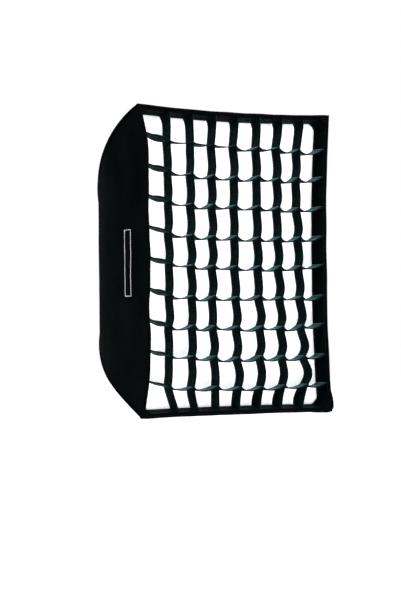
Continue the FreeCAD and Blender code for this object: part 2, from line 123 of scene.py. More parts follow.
# ---- the walls' profiles ----
def wall_profile(node, out_axis, across_axis):
    """(depth, reach) pairs along a wall's outer skin, read from its CAD mesh."""
    mesh = nodes[node].data
    pairs = set()
    for polygon in mesh.polygons:
        normal = polygon.normal
        if normal[out_axis] < 0.05 or abs(normal[across_axis]) > 0.02:
            continue
        for index in polygon.vertices:
            point = mesh.vertices[index].co
            pairs.add((round(point.y - front_y, 6), round(point[out_axis], 6)))
    ordered = sorted(pairs)
    return np.array([p[0] for p in ordered]), np.array([p[1] for p in ordered])


profiles = {2: wall_profile("panel_top", 2, 0), 0: wall_profile("panel_right", 0, 2)}


def reach(axis, depth):
    depths, reaches = profiles[axis]
    return float(np.interp(depth, depths, reaches))


def slope(axis, depth):
    step = 0.002
    return (reach(axis, depth + step) - reach(axis, depth - step)) / (2 * step)


def pull(side, depth, across):
    """How far the wall gives inward at a place; across is -1 to 1 between the rods."""
    shape = 1 - abs(across) ** pull_shape[side]
    key = list(SIDES).index(side) * 9.1
    ripple = lip_ripple[side] * noise.noise(Vector((across * 5.5, key, 0.3)))
    front = front_pull[side] * math.exp(-(depth / pull_reach) ** 2)
    middle = wall_sag * math.sin(math.pi * min(max(depth / wall_sag_reach, 0), 1))
    near_lip = front + 2 * ripple * math.exp(-(depth / ripple_reach) ** 2)
    return near_lip * shape + middle * (1 - across * across)


def folds(side, depth, across, run):
    """Slack and tension folds: soft waves, and rays from the two front corners."""
    key = list(SIDES).index(side) * 3.7
    place = Vector((across * run * folds_per_metre, depth * folds_per_metre, key))
    wave = fold_height * noise.noise(place) + fine_fold_height * noise.noise(place * 3.1)
    rays = 0.0
    for corner in (-1, 1):
        along = (1 - across * corner) * run
        distance = math.hypot(along, depth)
        angle = math.atan2(depth, along)
        strength = min(distance / ray_start, 1) * math.exp(-distance / ray_reach)
        rays += ray_height * strength * math.sin(rays_per_corner * angle + key)
    edge = min((1 - abs(across)) * run / seam_flat, 1)
    return (wave + rays) * edge


def crown(depth, across_share, up_share):
    """How far the cloth stands out over the upper left rod, as a move; shares run -1 to 1."""
    rise = corner_fullness * math.sin(math.pi * min(max(depth, 0) / corner_fullness_reach, 1) ** 0.75)
    rise = rise * max(-across_share, 0) ** 4 * max(up_share, 0) ** 4
    return Vector((-0.6 * rise, 0, rise))


def wall_point(side, depth, across, inset, wrinkled=True):
    """A point of a wall at some distance inward from its outer skin."""
    out_axis, sign, across_axis = SIDES[side]
    lean = slope(out_axis, depth)
    size = math.hypot(1, lean)
    run = reach(across_axis, depth)
    give = pull(side, depth, across)
    if wrinkled:
        give += folds(side, depth, across, run)
    out = reach(out_axis, depth) - inset * size - give
    point = Vector((0, front_y + depth, 0))
    point[out_axis] = sign * out
    across_size = math.hypot(1, slope(across_axis, depth))
    point[across_axis] = across * (run - inset * across_size)
    return point + crown(depth, point.x / reach(0, depth), point.z / reach(2, depth))


def rear_depth(side, across, radius):
    """The depth where a wall's line at this place across reaches the round rear hole."""
    low = 0.2
    high = float(max(profiles[0][0].max(), profiles[2][0].max()))
    for _ in range(40):
        middle = (low + high) / 2
        point = wall_point(side, middle, across, 0, False)
        if math.hypot(point.x, point.z) > radius:
            low = middle
        else:
            high = middle
    return low


# ---- mesh helpers ----
def new_object(name, vertices, faces):
    mesh = bpy.data.meshes.new(name)
    mesh.from_pydata([tuple(v) for v in vertices], [], faces)
    mesh.validate()
    mesh.update()
    for polygon in mesh.polygons:
        polygon.use_smooth = True
    obj = bpy.data.objects.new(name, mesh)
    bpy.context.scene.collection.objects.link(obj)
    return obj


def apply_modifiers(obj):
    graph = bpy.context.evaluated_depsgraph_get()
    mesh = bpy.data.meshes.new_from_object(obj.evaluated_get(graph))
    obj.modifiers.clear()
    obj.data = mesh
    for polygon in mesh.polygons:
        polygon.use_smooth = True


def thicken(obj, thickness, offset=0.0):
    solid = obj.modifiers.new("thickness", "SOLIDIFY")
    solid.thickness = thickness
    solid.offset = offset
    solid.use_even_offset = True
    apply_modifiers(obj)


def grid_faces(rows, columns, closed=False):
    faces = []
    for row in range(rows - 1):
        for column in range(columns if closed else columns - 1):
            after = (column + 1) % columns
            a = row * columns
            b = (row + 1) * columns
            faces.append((a + column, a + after, b + after, b + column))
    return faces


def sheet_object(name, rows, thickness, closed=False, offset=0.0):
    """A sheet from rows of points, given a real thickness."""
    vertices = [point for row in rows for point in row]
    obj = new_object(name, vertices, grid_faces(len(rows), len(rows[0]), closed))
    thicken(obj, thickness, offset)
    return obj


def band_rows(section, columns):
    """Closed rows round the opening; section lists (depth, inset) pairs."""
    rows = []
    for depth, inset in section:
        ahead = Vector((0, min(depth, 0), 0))
        rows.append([wall_point(side, max(depth, 0), across, inset, False) + ahead
                     for side, across in loop_places(columns)])
    return rows


def tube_object(name, paths, radius, sides=10, taper=1.0):
    """Round cords along lists of points, as one mesh with closed ends."""
    vertices = []
    faces = []
    for path in paths:
        first = len(vertices)
        reference = Vector((0.31, 0.47, 0.82))
        for index, point in enumerate(path):
            before = path[max(index - 1, 0)]
            after = path[min(index + 1, len(path) - 1)]
            direction = (after - before).normalized()
            side = direction.cross(reference).normalized()
            other = direction.cross(side)
            end = index in (0, len(path) - 1)
            size = radius * (taper if end else 1)
            for step in range(sides):
                angle = 2 * math.pi * step / sides
                vertices.append(point + (side * math.cos(angle) + other * math.sin(angle)) * size)
        for row in range(len(path) - 1):
            for step in range(sides):
                after = (step + 1) % sides
                a = first + row * sides
                b = a + sides
                faces.append((a + step, a + after, b + after, b + step))
        faces.append(tuple(first + step for step in reversed(range(sides))))
        last = first + (len(path) - 1) * sides
        faces.append(tuple(last + step for step in range(sides)))
    return new_object(name, vertices, faces)


def spread(low, high, count):
    """Evenly spaced values, both ends included."""
    return [low + (high - low) * index / (count - 1) for index in range(count)]


def joined(patches):
    """Vertices and faces of several separate patches, each a list of rows, as one mesh's."""
    vertices = []
    faces = []
    for rows in patches:
        first = len(vertices)
        vertices += [point for row in rows for point in row]
        faces += [tuple(first + index for index in face) for face in grid_faces(len(rows), len(rows[0]))]
    return vertices, faces


def finish_piece(obj, body, material, replaced=()):
    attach(obj, body)
    if replaced:
        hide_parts(*replaced)
    obj.data.materials.clear()
    obj.data.materials.append(material)


# ---- materials ----
class Surface:
    """A Principled shader with object-space texture nodes."""

    def __init__(self, name, color, roughness, **settings):
        self.material = bpy.data.materials.new(name)
        self.material.use_nodes = True
        self.tree = self.material.node_tree
        self.shader = self.tree.nodes["Principled BSDF"]
        self.shader.inputs["Base Color"].default_value = (*color, 1)
        self.shader.inputs["Roughness"].default_value = roughness
        for key, value in settings.items():
            self.shader.inputs[key.replace("_", " ")].default_value = value
        self.place = self.tree.nodes.new("ShaderNodeTexCoord").outputs["Object"]
        self.normal = None

    def node(self, kind, **inputs):
        node = self.tree.nodes.new(kind)
        for key, value in inputs.items():
            socket = node.inputs[key.replace("_", " ")]
            if isinstance(value, bpy.types.NodeSocket):
                self.tree.links.new(value, socket)
            else:
                socket.default_value = value
        return node

    def noise(self, scale, detail=4.0, stretch=(1, 1, 1)):
        place = self.node("ShaderNodeMapping", Vector=self.place, Scale=stretch).outputs[0]
        return self.node("ShaderNodeTexNoise", Vector=place, Scale=scale, Detail=detail).outputs["Fac"]

    def wave(self, scale, direction, distortion=0.0):
        node = self.node("ShaderNodeTexWave", Vector=self.place, Scale=scale, Distortion=distortion)
        node.bands_direction = direction
        return node.outputs["Fac"]

    def math(self, operation, first, second):
        node = self.tree.nodes.new("ShaderNodeMath")
        node.operation = operation
        for socket, value in zip(node.inputs, (first, second)):
            if isinstance(value, bpy.types.NodeSocket):
                self.tree.links.new(value, socket)
            else:
                socket.default_value = value
        return node.outputs[0]

    def tint(self, factor, low, high, low_at=0.35, high_at=0.65):
        """Colours the surface between two shades by a factor."""
        ramp = self.node("ShaderNodeValToRGB", Fac=factor)
        ramp.color_ramp.elements[0].position = low_at
        ramp.color_ramp.elements[1].position = high_at
        ramp.color_ramp.elements[0].color = (*low, 1)
        ramp.color_ramp.elements[1].color = (*high, 1)
        self.tree.links.new(ramp.outputs["Color"], self.shader.inputs["Base Color"])

    def shade_roughness(self, factor, low, high):
        node = self.node("ShaderNodeMapRange", Value=factor, To_Min=low, To_Max=high)
        self.tree.links.new(node.outputs[0], self.shader.inputs["Roughness"])

    def bump(self, height, distance, strength=1.0):
        node = self.node("ShaderNodeBump", Height=height, Distance=distance, Strength=strength)
        if self.normal:
            self.tree.links.new(self.normal, node.inputs["Normal"])
        self.normal = node.outputs["Normal"]
        self.tree.links.new(self.normal, self.shader.inputs["Normal"])


def weave(surface, scale, distance):
    """Threads both ways across any facing surface."""
    threads = surface.math("MULTIPLY", surface.wave(scale, "X"), surface.wave(scale, "Z"))
    depthwise = surface.math("MULTIPLY", threads, surface.wave(scale, "Y"))
    surface.bump(depthwise, distance)


def black_nylon():
    surface = Surface("black_nylon", (0.003, 0.0032, 0.0035), 0.6, Specular_IOR_Level=0.0008)
    cloud = surface.noise(7, 5)
    surface.tint(cloud, (0.0004, 0.0008, 0.0009), (0.0011, 0.0018, 0.0020))
    surface.shade_roughness(surface.noise(35, 3), 0.5, 0.7)
    weave(surface, 320, 0.0002)
    surface.bump(surface.noise(26, 3), 0.0016, 0.35)
    return surface.material


def silver_cloth():
    surface = Surface("silver_lining", (0.68, 0.69, 0.70), 0.34, Metallic=0.85)
    crease = surface.noise(60, 6)
    surface.tint(surface.noise(14, 4), (0.56, 0.57, 0.58), (0.78, 0.79, 0.80))
    surface.shade_roughness(crease, 0.24, 0.46)
    surface.bump(crease, 0.003, 0.6)
    weave(surface, 260, 0.0001)
    return surface.material


def white_diffusion():
    surface = Surface("white_diffusion", (0.93, 0.95, 0.96), 0.85, Specular_IOR_Level=0.2)
    surface.tint(surface.noise(3.5, 3), (0.90, 0.95, 0.97), (0.96, 0.955, 0.96))
    weave(surface, 300, 0.00015)
    surface.bump(surface.noise(9, 3), 0.002, 0.25)
    # Painted glow: the cloth gives off light of its own, as if a lamp shone through it, though there is
    # no lamp inside the box.
    surface.shader.inputs["Emission Color"].default_value = (0.97, 0.99, 1.0, 1)
    surface.shader.inputs["Emission Strength"].default_value = 0.5
    return surface.material


def baffle_cloth():
    surface = Surface("baffle_cloth", (0.88, 0.89, 0.90), 0.8, Specular_IOR_Level=0.2)
    surface.tint(surface.noise(5, 3), (0.83, 0.84, 0.85), (0.92, 0.925, 0.93))
    weave(surface, 300, 0.00015)
    surface.bump(surface.noise(11, 3), 0.002, 0.3)
    return surface.material


def grid_cloth(name, sheen, shade):
    surface = Surface(name, (0.001, 0.002, 0.002), 0.4, Specular_IOR_Level=0.002,
                      Sheen_Weight=sheen, Sheen_Roughness=0.3, Sheen_Tint=(0.5, 0.9, 1.0, 1))
    dark = (0.0006 * shade, 0.0017 * shade, 0.0017 * shade)
    light = (0.0010 * shade, 0.0028 * shade, 0.0030 * shade)
    surface.tint(surface.noise(22, 4), dark, light)
    surface.shade_roughness(surface.noise(60, 3), 0.32, 0.48)
    weave(surface, 380, 0.0002)
    surface.bump(surface.noise(45, 3), 0.001, 0.3)
    return surface.material


def black_webbing():
    surface = Surface("black_webbing", (0.002, 0.002, 0.0022), 0.75, Specular_IOR_Level=0.002)
    ribs = surface.math("MULTIPLY", surface.wave(190, "DIAGONAL"), surface.noise(150, 2))
    surface.bump(ribs, 0.0006)
    surface.tint(ribs, (0.0004, 0.0005, 0.0006), (0.0014, 0.0017, 0.0019), 0.1, 0.5)
    return surface.material


def pale_thread():
    surface = Surface("pale_thread", (0.78, 0.78, 0.76), 0.6, Sheen_Weight=0.1)
    twist = surface.wave(900, "DIAGONAL")
    surface.tint(surface.noise(90, 3), (0.70, 0.70, 0.68), (0.84, 0.84, 0.82))
    surface.bump(twist, 0.0002)
    return surface.material


def loop_tape():
    surface = Surface("loop_tape", (0.002, 0.002, 0.0022), 0.95, Specular_IOR_Level=0.002,
                      Sheen_Weight=0.01)
    fuzz = surface.noise(420, 6)
    surface.tint(fuzz, (0.0009, 0.0012, 0.0012), (0.0032, 0.0036, 0.0038))
    surface.bump(fuzz, 0.0012)
    return surface.material


def black_elastic():
    surface = Surface("black_elastic", (0.006, 0.006, 0.0065), 0.75, Specular_IOR_Level=0.08,
                      Sheen_Weight=0.03)
    ribs = surface.wave(240, "Y", 0.6)
    surface.bump(ribs, 0.0005)
    surface.tint(surface.noise(50, 4), (0.004, 0.004, 0.0045), (0.009, 0.009, 0.0098))
    return surface.material


def anodised_black():
    surface = Surface("anodised_black", (0.018, 0.018, 0.02), 0.38, Metallic=0.75)
    grain = surface.noise(240, 4)
    surface.tint(surface.noise(18, 3), (0.014, 0.014, 0.0155), (0.024, 0.024, 0.0265))
    surface.shade_roughness(grain, 0.3, 0.48)
    surface.bump(grain, 0.0002, 0.4)
    return surface.material


def turned_metal(name, color, roughness):
    surface = Surface(name, color, roughness, Metallic=1.0, Anisotropic=0.4)
    rings = surface.noise(90, 4, (1, 14, 1))
    darker = tuple(channel * 0.82 for channel in color)
    surface.tint(surface.noise(30, 3), darker, color)
    surface.shade_roughness(rings, roughness - 0.08, roughness + 0.12)
    surface.bump(rings, 0.0002, 0.5)
    return surface.material


def moulded_black(name, roughness):
    surface = Surface(name, (0.014, 0.014, 0.015), roughness)
    grain = surface.noise(700, 3)
    surface.tint(surface.noise(40, 3), (0.011, 0.011, 0.012), (0.019, 0.019, 0.0205))
    surface.shade_roughness(grain, roughness - 0.08, roughness + 0.1)
    surface.bump(grain, 0.0003, 0.7)
    return surface.material


def pale_floor():
    surface = Surface("pale_floor", (0.9, 0.9, 0.9), 0.9, Specular_IOR_Level=0.1)
    surface.shader.inputs["Emission Color"].default_value = (1, 1, 1, 1)
    surface.shader.inputs["Emission Strength"].default_value = 0.45
    surface.bump(surface.noise(40, 2), 0.0005, 0.2)
    return surface.material


nylon = black_nylon()
silver = silver_cloth()
diffusion = white_diffusion()
baffle_white = baffle_cloth()
grid_black = grid_cloth("grid_fabric", 0.09, 1.0)
# A copy of the grid fabric with twice the tint and much more sheen: painted light for the level strips'
# upward faces, standing in for the top lamp's light.
grid_painted_light_copy = grid_cloth("grid_fabric_painted_light", 0.50, 2.0)
grid_edging = grid_cloth("grid_edging", 0.03, 0.55)
webbing = black_webbing()
thread = pale_thread()
tape_black = loop_tape()
elastic = black_elastic()
ring_black = anodised_black()
bayonet_metal = turned_metal("bayonet_metal", (0.22, 0.22, 0.23), 0.42)
brass = turned_metal("socket_brass", (0.66, 0.50, 0.25), 0.3)
zinc = turned_metal("zinc_steel", (0.50, 0.50, 0.52), 0.35)
rod_black = moulded_black("rod_coating", 0.4)
knob_black = moulded_black("knob_plastic", 0.5)
pad_rubber = moulded_black("pad_rubber", 0.85)


# ---- shell and lining walls ----
def wall_rows(side, inset, first_depth):
    """Rows from the front to the round rear hole, closer together where the walls turn in."""
    rows = []
    for share in spread(0, 1, 46):
        eased = 1 - (1 - share) ** 1.5
        points = []
        for across in spread(-1, 1, 57):
            end = rear_depth(side, across, hole_radius + 0.001)
            points.append(wall_point(side, first_depth + (end - first_depth) * eased, across, inset))
        rows.append(points)
    return rows


def make_walls():
    for side in SIDES:
        rows = wall_rows(side, 0, 0.0)
        wall = sheet_object("wall_" + side, rows, shell_thickness, offset=inward_offset(side))
        finish_piece(wall, "box", nylon, ["panel_" + side])
        rows = wall_rows(side, lining_inset, 0.003)
        lining = sheet_object("lining_cloth_" + side, rows, lining_thickness, offset=inward_offset(side))
        finish_piece(lining, "box", silver, ["lining_" + side])


def inward_offset(side):
    """Solidify's offset that puts the thickness on the wall's inner face."""
    return -1.0 if side in ("top", "left") else 1.0


def ridge_path(corner_x, corner_z, depths):
    """A line down the seam over a rod, lifted off it."""
    lift = 0.0006
    path = []
    for depth in depths:
        x = reach(0, depth) + lift * 0.7
        z = reach(2, depth) + lift * 0.7
        place = Vector((corner_x * x, front_y + depth, corner_z * z))
        path.append(place + crown(depth, corner_x, corner_z))
    return path


def make_ridges():
    first = 0.004
    last = rear_depth("top", 1, hole_radius)
    depths = [first + (last - first) * (1 - (1 - share) ** 1.4) for share in spread(0, 1, 70)]
    paths = [ridge_path(x, z, depths) for x, z in CORNERS]
    piping = tube_object("ridge_piping", paths, 0.0019)
    finish_piece(piping, "box", webbing)


# ---- binding, lip tape and corner pockets ----
def loop_places(columns):
    """(side, place across) pairs all the way round the opening."""
    places = []
    for side, first in (("top", -1), ("right", 1), ("bottom", 1), ("left", -1)):
        for index in range(columns):
            across = first + (-2 * first) * index / columns
            places.append((side, across))
    return places


def make_binding():
    outer = -0.0016
    inner = tape_inset - 0.0002
    section = [
        (hem_depth, outer + 0.0012),
        (hem_depth - 0.001, outer),
        (hem_depth / 2, outer - 0.0003),
        (0.002, outer),
        (-0.001, outer + 0.0008),
        (-0.0018, (outer + inner) / 2),
        (-0.001, inner - 0.0006),
        (0.002, inner),
        (tape_start + 0.004, inner),
    ]
    binding = sheet_object("front_binding", band_rows(section, 90), 0.0008, closed=True)
    finish_piece(binding, "box", webbing, ["front_hem"])
    stitch_paths = []
    for depth in (0.004, hem_depth - 0.003):
        places = loop_places(150)
        for index in range(0, len(places) - 1, 2):
            ends = [wall_point(side, depth, across, outer - 0.0008, False)
                    for side, across in (places[index], places[index + 1])]
            if places[index][0] == places[index + 1][0]:
                stitch_paths.append([ends[0], (ends[0] + ends[1]) / 2, ends[1]])
    stitches = tube_object("binding_stitches", stitch_paths, 0.0003, 5)
    finish_piece(stitches, "box", webbing)


def make_lip_tape():
    limit = 0.955                 # the tapes stop short of the corners
    for side in SIDES:
        rows = []
        for depth in spread(tape_start + 0.001, tape_end, 12):
            rows.append([wall_point(side, depth, across * limit, tape_inset)
                         for across in spread(-1, 1, 61)])
        tape = sheet_object("lip_tape_" + side, rows, tape_thickness, offset=inward_offset(side))
        replaced = ["lip_loop_tape"] if side == "top" else []
        finish_piece(tape, "box", tape_black, replaced)


def make_corner_pockets():
    """Three-cornered pockets over the rod tips, each with a piped edge."""
    longest_leg = 0.0265
    margin = 0.0045
    fullest = 0.0025
    patches = []
    for corner_x, corner_z in CORNERS:
        rows = []
        for share in spread(0, 1, 9):
            leg = longest_leg * (1 - share * 0.84)
            row = []
            for across in spread(-1, 1, 13):
                x = reach(0, 0.0) - margin - leg * (1 + across) / 2
                z = reach(2, 0.0) - margin - leg * (1 - across) / 2
                puff = fullest * math.sin(math.pi * share) * (1 - across * across)
                row.append(Vector((corner_x * x, front_y + 0.0016 - puff * 0.4, corner_z * z)))
            rows.append(row)
        patches.append(rows)
    pockets = new_object("rod_pockets", *joined(patches))
    thicken(pockets, 0.0014)
    finish_piece(pockets, "box", webbing, ["corner_pockets"])
    edges = [[point + Vector((0, -0.0008, 0)) for point in rows[0]] for rows in patches]
    piping = tube_object("rod_pocket_edges", edges, 0.0010, 8)
    finish_piece(piping, "box", webbing)


def make_corner_guards():
    """Padded outer corners that the rod tips push into; the lower right one is worn out of shape."""
    last = 0.038
    lift = 0.0014
    for number, (corner_x, corner_z) in enumerate(CORNERS, 1):
        worn = (corner_x, corner_z) == (1, -1)
        bulge = 0.0068 if worn else 0.0006
        leg = 0.068 if worn else 0.052
        rounding = 0.0042 if worn else 0.0032
        rows = []
        for depth in spread(0.001, last, 12):
            row = []
            length = leg * (1 - 0.3 * (depth / last) ** 2)
            for place in spread(-1, 1, 61):
                swell = 0.0011 * (1 - abs(place) ** 3) * math.sin(math.pi * min(depth / 0.034 + 0.12, 1))
                if place > 0:
                    nearness = math.exp(-abs((place * length - 0.030) / 0.024) ** 3)
                    swell += bulge * nearness * (1 - depth / 0.06)
                elif worn:
                    swell += 0.0018 * (1 + place) ** 0.5
                x = reach(0, depth) + lift + swell
                z = reach(2, depth) + lift + swell
                if place < 0:
                    x += length * place
                    z -= pull("top" if corner_z > 0 else "bottom", depth, x / reach(0, depth))
                else:
                    z -= length * place
                    x -= pull("right" if corner_x > 0 else "left", depth, corner_z * z / reach(2, depth))
                x -= rounding * math.exp(-(place / 0.12) ** 2)
                z -= rounding * math.exp(-(place / 0.12) ** 2)
                row.append(Vector((corner_x * x, front_y + depth, corner_z * z)))
            rows.append(row)
        guard = sheet_object("corner_guard_%d" % number, rows, 0.0012)
        finish_piece(guard, "box", webbing)


# ---- front diffuser and its hook band ----
def cut_corner(x, z, half_x, half_z, cut):
    """Moves a place near a rectangle's corner back onto the line that cuts the corner off."""
    spare = (half_x - abs(x)) + (half_z - abs(z))
    if spare < cut:
        step = (cut - spare) / 2
        x -= math.copysign(step, x)
        z -= math.copysign(step, z)
    return x, z


def inner_limit(axis, sign, depth, across, inset):
    """How far out a layer at some inset reaches towards one side."""
    side = {(2, 1): "top", (2, -1): "bottom", (0, 1): "right", (0, -1): "left"}[(axis, sign)]
    size = math.hypot(1, slope(axis, depth))
    return reach(axis, depth) - inset * size - pull(side, depth, across)


def opening_point(u, v, depth, inset, cut):
    """A point of the opening's section; u and v run -1 to 1 across and up."""
    half_x = inner_limit(0, 1 if u > 0 else -1, depth, v, inset)
    half_z = inner_limit(2, 1 if v > 0 else -1, depth, u, inset)
    return cut_corner(u * half_x, v * half_z, half_x, half_z, cut)


def make_diffuser():
    rows = []
    for v in spread(-1, 1, 81):
        row = []
        for u in spread(-1, 1, 61):
            x, z = opening_point(u, v, diffuser_depth, diffuser_inset, corner_cut)
            belly = 0.0015 * (1 - u * u) * (1 - v * v)
            ripple = 0.0006 * noise.noise(Vector((x * 14, z * 14, 0.4)))
            edge = min((1 - max(abs(u), abs(v))) * 12, 1)
            row.append(Vector((x, front_y + diffuser_depth + 0.0004 - belly + ripple * edge, z)))
        rows.append(row)
    cloth = sheet_object("diffusion_cloth", rows, 0.0006)
    finish_piece(cloth, "diffuser", diffusion, ["front_diffuser"])


def ring_rows(depths, inset, cut, per_side):
    """Closed rows round the opening with cut corners."""
    rows = []
    for depth in depths:
        row = []
        for side, across in loop_places(per_side):
            out_axis, sign, _ = SIDES[side]
            u, v = (sign, across) if out_axis == 0 else (across, sign)
            x, z = opening_point(u, v, depth, inset, cut)
            row.append(Vector((x, front_y + depth, z)))
        rows.append(row)
    return rows


def make_hook_band():
    depths = spread(diffuser_depth + 0.0014, hook_rear, 6)
    rows = ring_rows(depths, diffuser_inset, corner_cut, 60)
    band = sheet_object("hook_band", rows, 0.0009, closed=True)
    finish_piece(band, "diffuser", tape_black, ["diffuser_hook_band"])


# ---- egg-crate grid ----
cell_bow = {}
cross_shift = {}
row_fall = {}
for column in range(column_count):
    for row in range(row_count + 1):
        lower_right = max(0, row - 5) * max(0, column - 2) / 12
        cell_bow[column, row] = strip_bow * random.uniform(0.25, 1.25) + lower_right_bow * lower_right
        lean = column_lean[column] * (1 - (row / 8) ** 3)
        drift = column_drift + lean + lower_drift * (column - 1.5) * (row / 8) ** 2
        cross_shift[column, row] = drift + random.uniform(-cross_jitter, cross_jitter)
        row_fall[column, row] = random.uniform(-fall_jitter, fall_jitter)
    cell_bow[column, 0] = random.uniform(0.001, 0.006)
    cell_bow[column, row_count] = 0.0


def hump(share, row):
    """A bow that is fullest low in a cell, or high in the top row; share runs down the cell."""
    lateness = {0: 0.7, row_count - 1: 1.3}.get(row, 1.7)
    return math.sin(math.pi * share ** lateness)


def grid_give(x, z):
    """How the opening's inward pull moves the grid's outer cells."""
    half_x = reach(0, grid_front)
    half_z = reach(2, grid_front)
    near_x = max(0, abs(x) / half_x - 0.45) / 0.55
    near_z = max(0, abs(z) / half_z - 0.6) / 0.4
    side_x = "right" if x > 0 else "left"
    side_z = "top" if z > 0 else "bottom"
    move_x = front_pull[side_x] * (1 - (z / half_z) ** 2) * near_x ** 2
    move_z = front_pull[side_z] * (1 - (x / half_x) ** 2) * near_z ** 2
    return -math.copysign(move_x, x), -math.copysign(move_z, z)


def crossing(column, row):
    """Where upright strip `column` meets level strip `row`, rows counted from the top."""
    x, z = columns_x[column], rows_z[row]
    give_x, give_z = grid_give(x, z)
    share = x / reach(0, grid_front)
    fall = centre_fall * (1 - share * share) + right_fall * max(share, 0) + row_fall[column, row]
    return x + 0.6 * give_x + cross_shift[column, row], z + give_z - fall


def strip_knots(column):
    """(height, place across) pairs down an upright strip, at its ends and crossings."""
    top = reach(2, grid_front)
    knots = [(top, columns_x[column] + cross_shift[column, row_count] * 0.5)]
    knots += [crossing(column, row)[::-1] for row in range(row_count)]
    knots.append((-top, columns_x[column] + bottom_slant[column]))
    return knots


upright_knots = [strip_knots(column) for column in range(column_count)]


def column_x(column, z, depth_share):
    """An upright strip's place across, at a height."""
    knots = upright_knots[column]
    row = 0
    while row < row_count and z < knots[row + 1][0]:
        row += 1
    (high, start), (low, end) = knots[row], knots[row + 1]
    share = min(max((high - z) / (high - low), 0), 1)
    ease = share ** 1.5 if row == row_count and column > 0 else share
    x = start + (end - start) * ease + cell_bow[column, row] * hump(share, row)
    if row == row_count and column > 2:
        x -= (0.002 + 0.0022 * (column - 2) * (0.4 + depth_share)) * math.sin(math.pi * share)
    if row == 0:
        x -= top_flare * depth_share * math.exp(-max(high - 0.016 - z, 0) / 0.011)
    return x


def make_upright_strips():
    for column in range(column_count):
        rows = []
        for share in spread(0, 1, 161):
            row = []
            for depth_share in spread(0, 1, 6):
                depth = grid_front + (grid_rear - grid_front) * depth_share
                u = columns_x[column] / reach(0, depth)
                top = inner_limit(2, 1, depth, u, border_inset) - 0.001
                bottom = -inner_limit(2, -1, depth, u, border_inset) + 0.001
                z = top + (bottom - top) * share
                ruffle = 0.0009 * noise.noise(Vector((column * 5.3, z * 30, depth * 20)))
                x = column_x(column, z, depth_share) + ruffle
                row.append(Vector((x, front_y + depth, z)))
            rows.append(row)
        strip = sheet_object("upright_strip_%d" % (column + 1), rows, strip_thickness)
        finish_piece(strip, "grid", grid_black, ["grid_vertical_%d" % (column + 1)])


row_sags = {}
row_twist = {}
for row in range(row_count):
    for cell in range(column_count + 1):
        row_sags[row, cell] = random.uniform(0.75, 1.2)
        row_twist[row, cell] = random.uniform(-0.0025, 0.0015)
    row_sags[row, 0] = random.uniform(0.0, 0.15)
    row_twist[row, 0] = random.uniform(0.006, 0.010)
    row_sags[row, 1] *= 0.8
for cell in range(4):
    row_sags[0, cell] *= 0.35
for row in (3, 8):
    row_twist[row, 0] = 0.003


def level_z(row, x, depth_share, knots):
    """A level strip's height: it hangs in a skewed smile between the upright strips."""
    cell = 0
    while cell < column_count and x > knots[cell + 1][0]:
        cell += 1
    left, right = knots[cell], knots[cell + 1]
    share = min(max((x - left[0]) / (right[0] - left[0]), 0), 1)
    line = left[1] + (right[1] - left[1]) * share
    sag = row_sag * row_sags[row, cell] * (1 - abs(2 * share ** 0.76 - 1) ** 2.4)
    turned = max(share - 0.18, 0) / 0.82 if cell == 0 else share
    twist = row_twist[row, cell] * (depth_share - 0.5) * math.sin(math.pi * turned)
    return line - sag - twist


def put_painted_light_on_upper_faces(strip):
    """Paints light on a level strip: the lighter copy of the grid fabric stays on its upward faces only,
    and the faces turned down get the plain fabric.
    """
    strip.data.materials.append(grid_black)
    for polygon in strip.data.polygons:
        if polygon.normal.z < 0.3:
            polygon.material_index = 1


def make_level_strips():
    for row in range(row_count):
        rows = []
        for depth_share in spread(0, 1, 6):
            depth = grid_front + (grid_rear - grid_front) * depth_share
            v = rows_z[row] / reach(2, depth)
            left = -inner_limit(0, -1, depth, v, border_inset) + 0.001
            right = inner_limit(0, 1, depth, v, border_inset) - 0.001
            knots = [(left, rows_z[row] + 0.012)]
            for column in range(column_count):
                z = crossing(column, row)[1]
                knots.append((column_x(column, z, depth_share), z))
            knots.append((right, knots[-1][1] + 0.003))
            line = []
            for share in spread(0, 1, 201):
                x = left + (right - left) * share
                ruffle = 0.0005 * noise.noise(Vector((x * 30, row * 4.1, depth * 20)))
                line.append(Vector((x, front_y + depth, level_z(row, x, depth_share, knots) + ruffle)))
            rows.append(line)
        number = row_count - row
        strip = sheet_object("level_strip_%d" % number, rows, level_thickness)
        # The level strips carry the lighter copy of the grid fabric on their upper faces, as painted
        # light.
        finish_piece(strip, "grid", grid_painted_light_copy, ["grid_horizontal_%d" % number])
        put_painted_light_on_upper_faces(strip)


def make_grid_border():
    rows = ring_rows(spread(grid_front - 0.0005, grid_rear, 7), border_inset, corner_cut, 80)
    band = sheet_object("grid_border_band", rows, 0.0012, closed=True)
    finish_piece(band, "grid", grid_edging, ["grid_border"])
    rows = ring_rows([grid_front - 0.001, grid_front + 0.005], border_inset + 0.0012, corner_cut, 80)
    edge = sheet_object("grid_border_edge", rows, 0.0010, closed=True)
    finish_piece(edge, "grid", webbing)


# ---- inner baffle and straps ----
def make_baffle():
    low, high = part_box("inner_baffle")
    edge_pull = 0.010
    rows = []
    for v in spread(-1, 1, 49):
        row = []
        for u in spread(-1, 1, 37):
            half_x = high.x - edge_pull * (1 - v * v)
            half_z = high.z - edge_pull * (1 - u * u)
            x, z = cut_corner(u * half_x, v * half_z, half_x, half_z, baffle_corner_cut)
            sway = 0.003 * math.sin(3 * u + 1) * math.cos(2.5 * v) * (1 - max(abs(u), abs(v)) ** 4)
            row.append(Vector((x, (low.y + high.y) / 2 + sway, z)))
        rows.append(row)
    cloth = sheet_object("baffle_cloth_sheet", rows, 0.0006)
    finish_piece(cloth, "box", baffle_white, ["inner_baffle"])
    border = rows[0] + [row[-1] for row in rows[1:]] + rows[-1][-2::-1] + [row[0] for row in rows[-2::-1]]
    hem = tube_object("baffle_hem", [border], 0.0016, 8)
    finish_piece(hem, "box", baffle_white)


